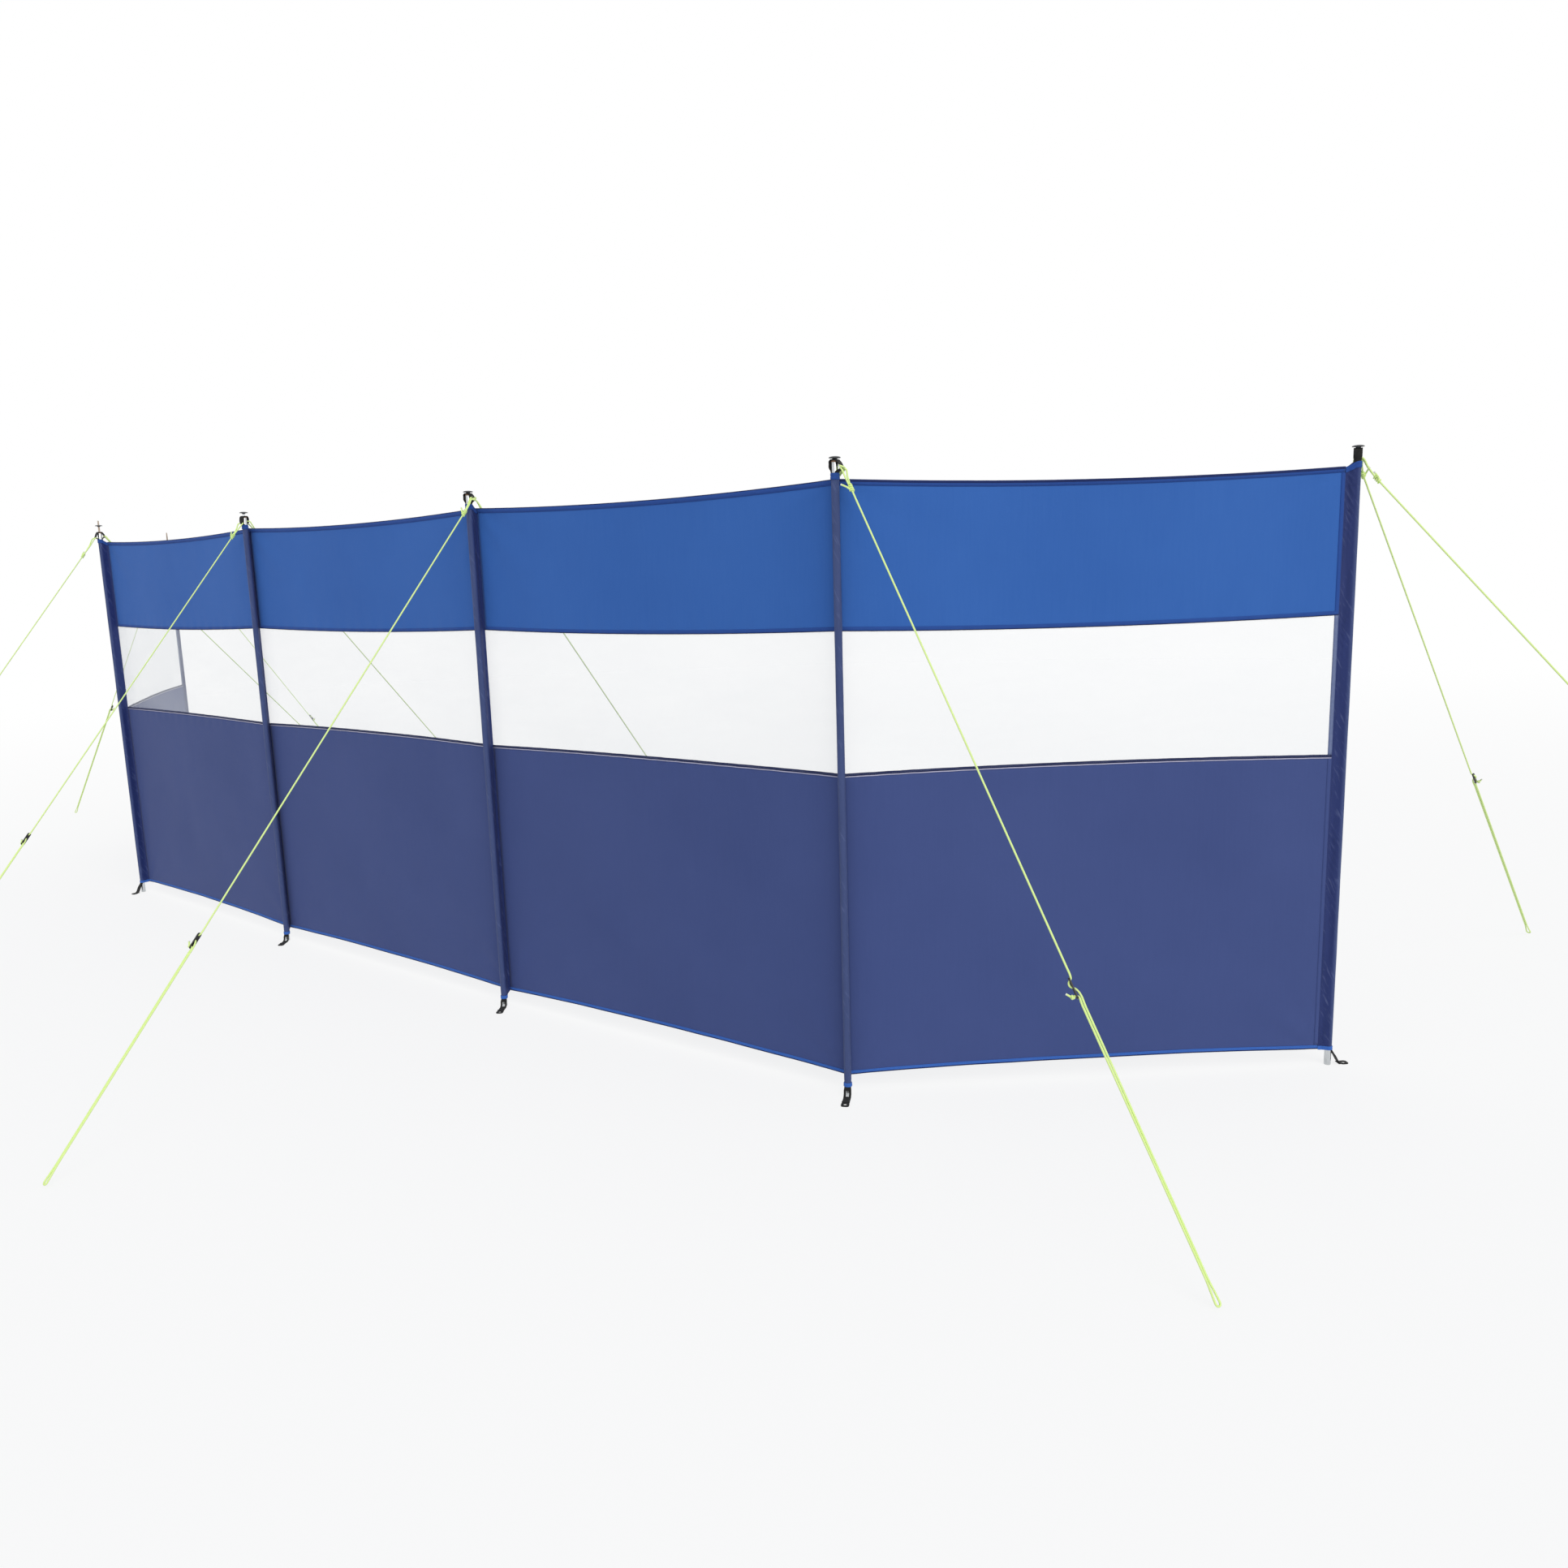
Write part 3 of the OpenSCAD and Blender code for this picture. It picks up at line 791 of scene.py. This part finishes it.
def sleeve_cloth(index):
    n = index + 1
    sleeve = Sleeve(index)
    rows, girth, zs = sleeve.shell(sleeve.low, sleeve.high, 0.0045)
    shape = Shape()
    shape.grid(rows, lambda i, j: (girth[j] - girth[-1] / 2, zs[i]))
    obj = shape.build(f"sleeve_cloth_{n}", [SLEEVE], "navy_cloth", [f"sleeve_{n}"])

    cuffs = Shape()
    top_swell = COLLAR_RADIUS - LOOP_RADIUS - 0.0004
    bands = ((sleeve.low - 0.0005, sleeve.low + 0.0090, 0.0010),
             (sleeve.high - 0.0135, sleeve.high + 0.0010, top_swell))
    for mat, (z_low, z_high, swell) in enumerate(bands):
        def ridge(z):
            t = (z - z_low) / (z_high - z_low)
            return 0.0007 * abs(sin(2 * pi * t)) * (1.2 - 0.4 * t)
        rows, around, levels = sleeve.shell(z_low, z_high, 0.0008, swell, ridge)
        inner, _, _ = sleeve.shell(z_low, z_high, 0.0008, -0.0002)
        rows = [inner[0], *rows, inner[-1]]
        levels = [levels[0], *levels, levels[-1]]
        cuffs.grid(rows, lambda i, j: (around[j], levels[i]), mat=mat)
    cuff = cuffs.build(f"sleeve_cuffs_{n}", [BINDING, HEM_CLOTH], "blue_cloth")

    thread = Shape()
    row = sleeve.depth - 0.0045
    for z in steps(CLOTH_TOP - HEM - 0.04, STITCH):
        z += HEM + 0.02
        for face in (1, -1):
            out = sleeve.side * (face * (FOLD_HALF + 0.0003))
            place = sleeve.foot + sleeve.back * row + UP * z + out
            thread.stitch(place, UP, sleeve.side * face, 0.0032, 0.0004)
    pieces = [cuff, thread.build(f"sleeve_stitches_{n}", [SLEEVE], "navy_cloth")]
    if index in (0, POLES - 1):
        tape = Shape()
        bay = Bay(min(index, BAYS - 1))
        if index == 0:
            seam_tape(tape, bay, -0.001, TAPE_WIDTH)
        else:
            seam_tape(tape, bay, bay.width - TAPE_WIDTH, bay.width + 0.001)
        pieces.append(tape.build(f"seam_tape_{n}", [NAVY, FILM_TAPE, HEM_CLOTH], "navy_cloth"))


# Poles and caps

def pole_tube(index):
    n = index + 1
    foot, top, pin = FEET[index], POLE_TOP, PIN_TOP[index]
    r, s, e = POLE_RADIUS, SPIKE_RADIUS, 0.0009
    tip = 0.7 * s if index in BARE_SPIKE else s
    profile = [(r - e, 0), (r - 0.3 * e, 0.3 * e), (r, e)]
    profile += [(r, 0.02 + (top - 0.02 - e) * k / 12) for k in range(13)]
    profile += [(r - 0.3 * e, top - 0.3 * e), (r - e, top - 0.0001), (s, top)]
    spike = [(s + 0.0006, top - 0.002), (s + 0.0006, top), (s, top + 0.0008),
             (0.5 * (s + tip), (top + pin) / 2), (tip, pin - 0.002), (0.75 * tip, pin - 0.0006),
             (0.3 * tip, pin)]
    shape = Shape()
    shape.lathe(profile, foot, 36)
    shape.lathe(spike, foot, 24, mat=2)
    collar = [(r, top - 0.0042), (r + 0.0002, top - 0.0036), (r + 0.0002, top - 0.0012),
              (r, top - 0.0006)]
    shape.lathe(collar, foot, 36, mat=1)
    spike_steel = WORN_STEEL if index in BARE_SPIKE else STEEL
    shape.build(f"pole_tube_{n}", [STEEL, RING, spike_steel], "steel", [f"pole_{n}"])


def pole_caps():
    """Domed caps, at their heights in the solids; the first pole has none."""
    shape = Shape()
    r, h = CAP_RADIUS, CAP_HEIGHT
    for foot in FEET:
        near = [p.z for p in points_of("pole_caps") if flat(p - foot).length < 0.03]
        if not near:
            continue
        low = min(near)
        brim = low + 0.0026
        dome = [(r * cos(a), brim + 0.0010 + (low + h - brim - 0.0010) * sin(a))
                for a in (pi / 2 * k / 9 for k in range(9))]
        under = [(0.0052, low), (0.0056, low + 0.0004), (0.0058, brim - 0.0008),
                 (0.0070, brim - 0.0001), (r - 0.0012, brim), (r - 0.0003, brim + 0.0003)]
        shape.lathe(under + dome + [(0.0016, low + h)], foot, 44)
    shape.build("domed_caps", [CAP], "cap", ["pole_caps"])


# Webbing

# Bearing of one leg of the strap at each pole; its other leg is opposite
STRAP_BEARING = [15.0, 48.0, 65.0, -30.0, -40.0, 60.0]
STRAP_WIDTH, STRAP_THICKNESS = 0.019, 0.0016
LEG_IN, LEG_FOOT = 0.0093, 0.0087
# Height of a collar's rim over its sleeve's top
RIM = 0.0012
STRAP_CURL = 1 / 0.0092
# How far the guys draw a leg out from its pole, and the share of its width that their loops leave
DRAWN_OUT = [0.0055, 0.0085, 0.0050, 0.0085, 0.0095, 0.0060]
CINCH = 0.58
# Poles whose two guys are tied to the same leg
SHARED_LEG = (3, 4, 5)


def leg_outline(draw, level):
    """One leg of a strap, from in the collar to the pole's top: distance out and height."""
    return [(LEG_FOOT, SLEEVE_TOP - 0.011), (LEG_FOOT, SLEEVE_TOP + RIM), (LEG_IN + draw, level),
            (LEG_IN + 0.55 * draw, 0.5 * (level + POLE_TOP)), (LEG_IN + 0.0004, POLE_TOP - 0.0024),
            (LEG_IN - 0.0030, POLE_TOP + 0.0011)]


def top_straps(guys):
    """Webbing loops over the poles' tops, their legs drawn out where the guys are tied."""
    shape = Shape()
    for i, foot in enumerate(FEET):
        u = bearing(STRAP_BEARING[i])
        tied = {s: [g.level for g in guys if g.index == i and g.sign == s] for s in (-1, 1)}
        levels = {s: sum(t) / len(t) if t else 0.5 * (SLEEVE_TOP + POLE_TOP) for s, t in tied.items()}
        legs = {s: leg_outline(DRAWN_OUT[i] if tied[s] else 0.0008, levels[s]) for s in (-1, 1)}
        crown = [(-a, z) for a, z in legs[-1]] + [(0.0, POLE_TOP + 0.0011)] + legs[1][::-1]
        path = spline([foot + u * a + UP * z for a, z in crown], 0.0016)
        curls, drawn = [], []
        for p in path:
            s = 1 if (p - foot).dot(u) > 0 else -1
            curls.append(smooth((levels[s] - p.z) / (levels[s] - SLEEVE_TOP - RIM)) * STRAP_CURL)
            pinch = exp(-((p.z - levels[s]) / 0.006) ** 2) if tied[s] else 0.0
            drawn.append(1 - (1 - CINCH) * pinch)
        shape.ribbon(path, UP.cross(u), STRAP_WIDTH, STRAP_THICKNESS, curls, drawn)
    shape.build("webbing_loops", [WEBBING], "webbing", ["top_straps"])


# Foot tabs that are pulled out flat, with no slot
SPLAYED = (0, 1, 5)


def foot_straps():
    """Webbing tabs that turn out from the sleeves' cuffs to a peg eye on the ground."""
    shape = Shape()
    width, thick, bar = 0.0185, 0.0019, 0.0056
    for i, foot in enumerate(FEET):
        run = flat(EYES[i] - foot)
        reach, out = run.length, run.normalized()
        across = UP.cross(out)
        low = SLEEVE_BOTTOM[i]
        ground = thick / 2 + 0.0002
        bend = [(LEG_FOOT, low + 0.008), (LEG_FOOT, low)]
        if i in SPLAYED:
            bend += [(0.0140, 0.72 * low), (0.0215, 0.36 * low), (0.0275, ground + 0.0040),
                     (0.0325, ground + 0.0006), (reach - 0.005, ground)]
        else:
            bend += [(0.0101, 0.55 * low), (0.0114, 0.22 * low + 0.001), (0.0150, ground + 0.0022),
                     (0.0205, ground), (reach - 0.007, ground)]
        path = spline([foot + out * a + UP * z for a, z in bend], 0.0016)
        for p in path:
            p.z = max(p.z, ground)
        curls = [smooth((p.z - 0.5 * low) / (0.5 * low)) * STRAP_CURL for p in path]
        slot = [k for k, p in enumerate(path) if 0.06 * low + ground < p.z < 0.62 * low]
        first, last = slot[0], slot[-1]
        whole, rails = [(0, len(path))], []
        if i not in SPLAYED:
            whole, rails = [(0, first + 1), (last, len(path))], [-1, 1]
        for start, stop in whole:
            shape.ribbon(path[start:stop], across, width, thick, curls[start:stop])
        for side in rails:
            rail = [p + across * (side * (width - bar) / 2) for p in path[first - 1:last + 2]]
            shape.ribbon(rail, across, bar, thick)
        axes = Matrix((out, across, UP)).transposed().to_4x4()
        toe = [rounded(0.020, width + 0.0012, 0.006), circle(-0.0005, 0.0045)]
        fold = [rounded(0.007, width + 0.0008, 0.0012)]
        for loops, depth, edge, on, up in ((toe, thick + 0.0006, 0.0005, 0.0005, 0.0002),
                                           (fold, thick, 0.0004, -0.0125, 0.0012)):
            place = Matrix.Translation(foot + out * (reach + on) + UP * (ground + up))
            shape.plate(loops, depth, edge, place @ axes)
    shape.build("webbing_feet", [WEBBING], "webbing", ["foot_straps"])


# Guy lines

# Distance of each pole's knots from the strap, and height of their loops over the sleeve's top
KNOT_DROP = {"outer": (0.055, 0.085, 0.055, 0.055, 0.055, 0.065),
             "inner": (0.055, 0.055, 0.055, 0.055, 0.055, 0.045)}
LOOP_RISE = {"outer": (0.0060, 0.0060, 0.0055, 0.0165, 0.0095, 0.0085),
             "inner": (0.0123, 0.0123, 0.0123, 0.0123, 0.0137, 0.0043)}
# Distance from the axis at which a loop passes behind its pole
BEHIND = 0.0126
# Height of a cord's middle where it lies over the cloth's top edge
OVER_HEM = 0.0045
RUNNER_LENGTH, RUNNER_WIDTH, RUNNER_THICKNESS = 0.042, 0.010, 0.0036
RUNNER_HOLES, HOLE_RADIUS = (-0.015, -0.001, 0.015), 0.0025
# Radius of the bend round a peg, and the barrel knot
BIGHT = 0.0052
KNOT_LENGTH, KNOT_RADIUS, KNOT_TURNS, KNOT_STEPS = 0.017, 0.0037, 3.5, 64
# Sideways places of the doubled strands and of the runner
STRAND, BAR = 0.0023, -0.0046
# Degrees by which a runner has rolled about its line
RUNNER_ROLL = {"outer_guy_5": -36.0}


def over_hem(index, p, q):
    """Way point of a strand, lifted over the top hem where it crosses a bay."""
    for other in (index - 1, index + 1):
        if 0 <= other < POLES:
            hit = geometry.intersect_line_line_2d(p.xy, q.xy, SEAMS[index].xy, SEAMS[other].xy)
            if hit:
                way = p.lerp(q, (hit - p.xy).length / (q.xy - p.xy).length)
                way.z = max(way.z, CLOTH_TOP + OVER_HEM)
                return way
    return p.lerp(q, 0.5)


class Guy:
    """One guy line, with its own directions along, up and sideways."""

    def __init__(self, index, side):
        self.index, self.node = index, f"{side}_guy_{index + 1}"
        foot = FEET[index]
        self.drop = KNOT_DROP[side][index]
        self.level = SLEEVE_TOP + LOOP_RISE[side][index]
        far = far_point(self.node, foot, 0.001)
        away = (far - foot).normalized()
        u = bearing(STRAP_BEARING[index])
        self.sign = 1 if index in SHARED_LEG or away.dot(u) > 0.1 else -1
        self.leg = u * self.sign
        behind = away.dot(self.leg) < -0.2
        start = away * BEHIND if behind else self.leg * (LEG_IN + DRAWN_OUT[index])
        self.head = foot + start + UP * self.level
        run = far - away * 0.0035 + UP * (3 * CORD_RADIUS) - self.head
        self.out = flat(run).normalized()
        self.length, self.axis = run.length, run.normalized()
        self.lateral = UP.cross(self.out)
        self.rise = self.axis.cross(self.lateral)
        near = [(p - self.head).dot(self.axis) for p in points_of("guy_runners")
                if (p - self.head).cross(self.axis).length < 0.03]
        self.runner = sum(near) / len(near)
        self.roll = radians(RUNNER_ROLL.get(self.node, 0.0))

    def at(self, a, w=0.0, h=0.0):
        """Point along, sideways and up; a runner and its strands may lie rolled."""
        roll = self.roll * (1 - smooth((a - self.runner - 0.06) / 0.30))
        c, s = cos(roll), sin(roll)
        return self.head + self.axis * a + self.rise * (h * c - w * s) + self.lateral * (h * s + w * c)

    def row(self, start, offsets):
        return [self.at(start + a, *beside) for a, *beside in offsets]

    def loop(self):
        """The tied loop round a leg of the webbing, from the knot and back to it."""
        knot = self.at(self.drop - 0.008)
        across = UP.cross(self.leg)
        near = 1 if self.out.dot(across) > 0 else -1
        edge = CINCH * STRAP_WIDTH / 2 + CORD_RADIUS + 0.0003
        place = LEG_IN + DRAWN_OUT[self.index]
        clear = STRAP_THICKNESS / 2 + CORD_RADIUS + 0.0002
        inner, outer = place - clear, place + clear
        if self.out.dot(self.leg) > 0.6:
            turns = [(outer - 0.001, edge, 0), (inner, 0.5 * edge, 0.001),
                     (inner, -0.5 * edge, 0.001), (outer - 0.001, -edge, 0)]
        else:
            turns = [(inner + 0.0005, edge, 0.001), (inner, 0, 0.002),
                     (inner + 0.0005, -edge, 0.002), (outer, -edge + 0.001, 0),
                     (outer, 0.4 * edge, -0.002), (outer - 0.0012, edge + 0.0004, -0.003)]
        corners = [FEET[self.index] + self.leg * a + across * (w * near) + UP * (self.level + dz)
                   for a, w, dz in turns]
        first, last = corners[0], corners[-1]
        start, end = knot + self.lateral * 0.0016, knot - self.lateral * 0.0016
        if (first - last).dot(self.lateral) < 0:
            start, end = end, start
        return ([start, over_hem(self.index, start, first)] + corners
                + [over_hem(self.index, last, end), end])

    def knot(self):
        """Barrel of turns that grips the loop."""
        r, n = KNOT_RADIUS, KNOT_STEPS
        return [self.at(self.drop - 0.009 + KNOT_LENGTH * k / n, r * sin(a), r * cos(a))
                for k, a in ((k, 2 * pi * KNOT_TURNS * k / n) for k in range(n + 1))]

    def route(self):
        """The line: down to the runner, through it, round the peg's place and back."""
        c, end, below = self.runner, self.length, self.drop + 0.012
        line = [self.at(self.drop - 0.01)]
        line += [self.at(below + (c - 0.026 - below) * k / 4) for k in range(5)]
        line += self.row(c, [
            (-0.0218, -0.0005), (-0.0182, -0.0016), (-0.0152, BAR), (-0.0124, -0.0078),
            (-0.0080, -0.0094), (-0.0036, -0.0078), (-0.0008, BAR), (0.0020, -0.0018),
            (0.0062, 0.0006), (0.0120, 0.0024), (0.0190, 0.0032), (0.0300, 0.0027)])
        line += [self.at(c + 0.04 + (end - 0.05 - c - 0.04) * k / 8, STRAND) for k in range(9)]
        line += self.row(end, [(-0.018, 0.0045), (-0.009, BIGHT)])
        line += [self.at(end - 0.006 + BIGHT * sin(t), BIGHT * cos(t))
                 for t in (pi * k / 6 for k in range(7))]
        line += self.row(end, [(-0.009, -BIGHT), (-0.018, -0.0045)])
        line += [self.at(end - 0.05 + (c + 0.036 - end + 0.05) * k / 8, -STRAND) for k in range(9)]
        return line + self.row(c, [
            (0.0270, -0.0018), (0.0212, -0.0012), (0.0178, -0.0020), (0.0150, BAR),
            (0.0140, -0.0080), (0.0145, -0.0112, 0.0005)])

    def stopper(self):
        """Knot on the far side of the runner that holds the cord's end."""
        c, r = self.runner + 0.0145, 0.0027
        turns = [self.at(c + r * sin(a), -0.0098 - 0.0055 * k / 26, r * cos(a))
                 for k, a in ((k, 2 * pi * 1.7 * k / 26) for k in range(27))]
        return turns + self.row(c, [
            (-0.003, -0.0166, 0.0015), (-0.006, -0.0190, 0.0025), (-0.008, -0.0208, 0.003)])

    def tail_end(self):
        """Short cut end that stands out of the knot."""
        return self.row(self.drop, [
            (0.003, -0.003, 0.002), (-0.002, -0.0065, 0.0045), (-0.008, -0.011, 0.005),
            (-0.014, -0.0165, 0.0055)])

    def build(self):
        shape = Shape()
        ends = [self.stopper(), self.tail_end()]
        for path in [spline(self.loop()), self.knot(), spline(self.route())]:
            shape.tube(path)
        for path in ends:
            shape.tube(spline(path, 0.0015))
        for path in ends:
            on = (path[-1] - path[-2]).normalized()
            tip = [path[-1] + on * run for run in (-0.0002, 0.0014, 0.0018)]
            shape.tube(tip, CORD_RADIUS * 1.06, mat=1)
        shape.build(f"cord_{self.node}", [CORD, CORD_TIP], "guy_line", [self.node])

    def bar(self, shape):
        outline = rounded(RUNNER_LENGTH, RUNNER_WIDTH, 0.0045)
        holes = [circle(a, HOLE_RADIUS) for a in RUNNER_HOLES]
        up = (self.at(self.runner, h=1.0) - self.at(self.runner)).normalized()
        axes = Matrix((self.axis, up, self.axis.cross(up))).transposed().to_4x4()
        place = Matrix.Translation(self.at(self.runner, BAR)) @ axes
        shape.plate([outline] + holes, RUNNER_THICKNESS, 0.0007, place)


def guy_lines(guys):
    bars = Shape()
    for guy in guys:
        guy.build()
        guy.bar(bars)
    bars.build("runner_bars", [RUNNER], "runner", ["guy_runners"])


# Stage, light and camera

SKY, SKY_COLOUR = 0.62, (0.94, 0.985, 1.04, 1.0)
SUN, SUN_COLOUR = 1.35, (1.0, 0.965, 0.91)
SUN_COURSE = (-0.26, 0.80, -0.60)
FLOOR_HALF, FLOOR_COLOUR = 60.0, (0.86, 0.86, 0.86, 1.0)
# Share of plain white in what is seen of the floor, and where it rises to all of it
FLOOR_WHITE, FLOOR_FADE = 0.80, (2.0, 14.0)


def build_world():
    SCENE.world = bpy.data.worlds.new("studio")
    n = Nodes(SCENE.world)
    n.tree.nodes.clear()
    light = n.node("ShaderNodeBackground", {"Color": SKY_COLOUR, "Strength": SKY})
    white = n.node("ShaderNodeBackground", {"Color": (1.0, 1.0, 1.0, 1.0)})
    mix = n.node("ShaderNodeMixShader", {0: n.seen(), 1: light.outputs[0], 2: white.outputs[0]})
    n.node("ShaderNodeOutputWorld", {0: mix.outputs[0]})


def build_floor():
    mat = bpy.data.materials.new("floor")
    n = Nodes(mat)
    n.tree.nodes.clear()
    pale = n.node("ShaderNodeBsdfDiffuse", {"Color": FLOOR_COLOUR})
    glow = n.node("ShaderNodeEmission", {"Strength": 1.0})
    place = n.node("ShaderNodeTexCoord").outputs["Object"]
    distance = n.node("ShaderNodeVectorMath", {0: place}, operation="LENGTH").outputs["Value"]
    fade = n.ramp(distance, FLOOR_WHITE, 1.0, *FLOOR_FADE, interpolation_type="SMOOTHSTEP")
    share = n.math("MULTIPLY", n.seen(), fade)
    mix = n.node("ShaderNodeMixShader", {0: share, 1: pale.outputs[0], 2: glow.outputs[0]})
    n.node("ShaderNodeOutputMaterial", {0: mix.outputs[0]})
    h = FLOOR_HALF
    mesh = bpy.data.meshes.new("floor")
    mesh.from_pydata([(-h, -h, 0), (h, -h, 0), (h, h, 0), (-h, h, 0)], [], [(0, 1, 2, 3)])
    mesh.materials.append(mat)
    floor = add("floor", mesh)
    floor.location.z = -0.0005


def build_light():
    sun = bpy.data.lights.new("sun", "SUN")
    sun.energy, sun.angle = SUN, radians(50)
    sun.color = SUN_COLOUR
    lamp = add("sun", sun)
    lamp.rotation_mode = "QUATERNION"
    lamp.rotation_quaternion = Vector(SUN_COURSE).to_track_quat("-Z", "Y")


def build_camera():
    data = bpy.data.cameras.new("camera")
    data.sensor_width = 36.0
    data.lens = data.sensor_width * FOCAL_PX / IMAGE_SIDE
    data.clip_end = 200.0
    camera = add("camera", data)
    turn = (Matrix.Rotation(radians(CAMERA_YAW), 4, "Z")
            @ Matrix.Rotation(radians(90 - CAMERA_PITCH), 4, "X")
            @ Matrix.Rotation(radians(CAMERA_ROLL), 4, "Z"))
    camera.matrix_world = Matrix.Translation(CAMERA_PLACE) @ turn
    SCENE.camera = camera


SCENE.view_settings.view_transform = "Standard"
build_camera()
build_world()
build_floor()
build_light()
for number in range(POLES):
    pole_tube(number)
pole_caps()
guy_list = [Guy(number, side) for side in ("outer", "inner") for number in range(POLES)]
top_straps(guy_list)
foot_straps()
guy_lines(guy_list)
for number in range(POLES):
    sleeve_cloth(number)
for number in range(BAYS):
    bay_cloth(number)

bpy.context.view_layer.update()
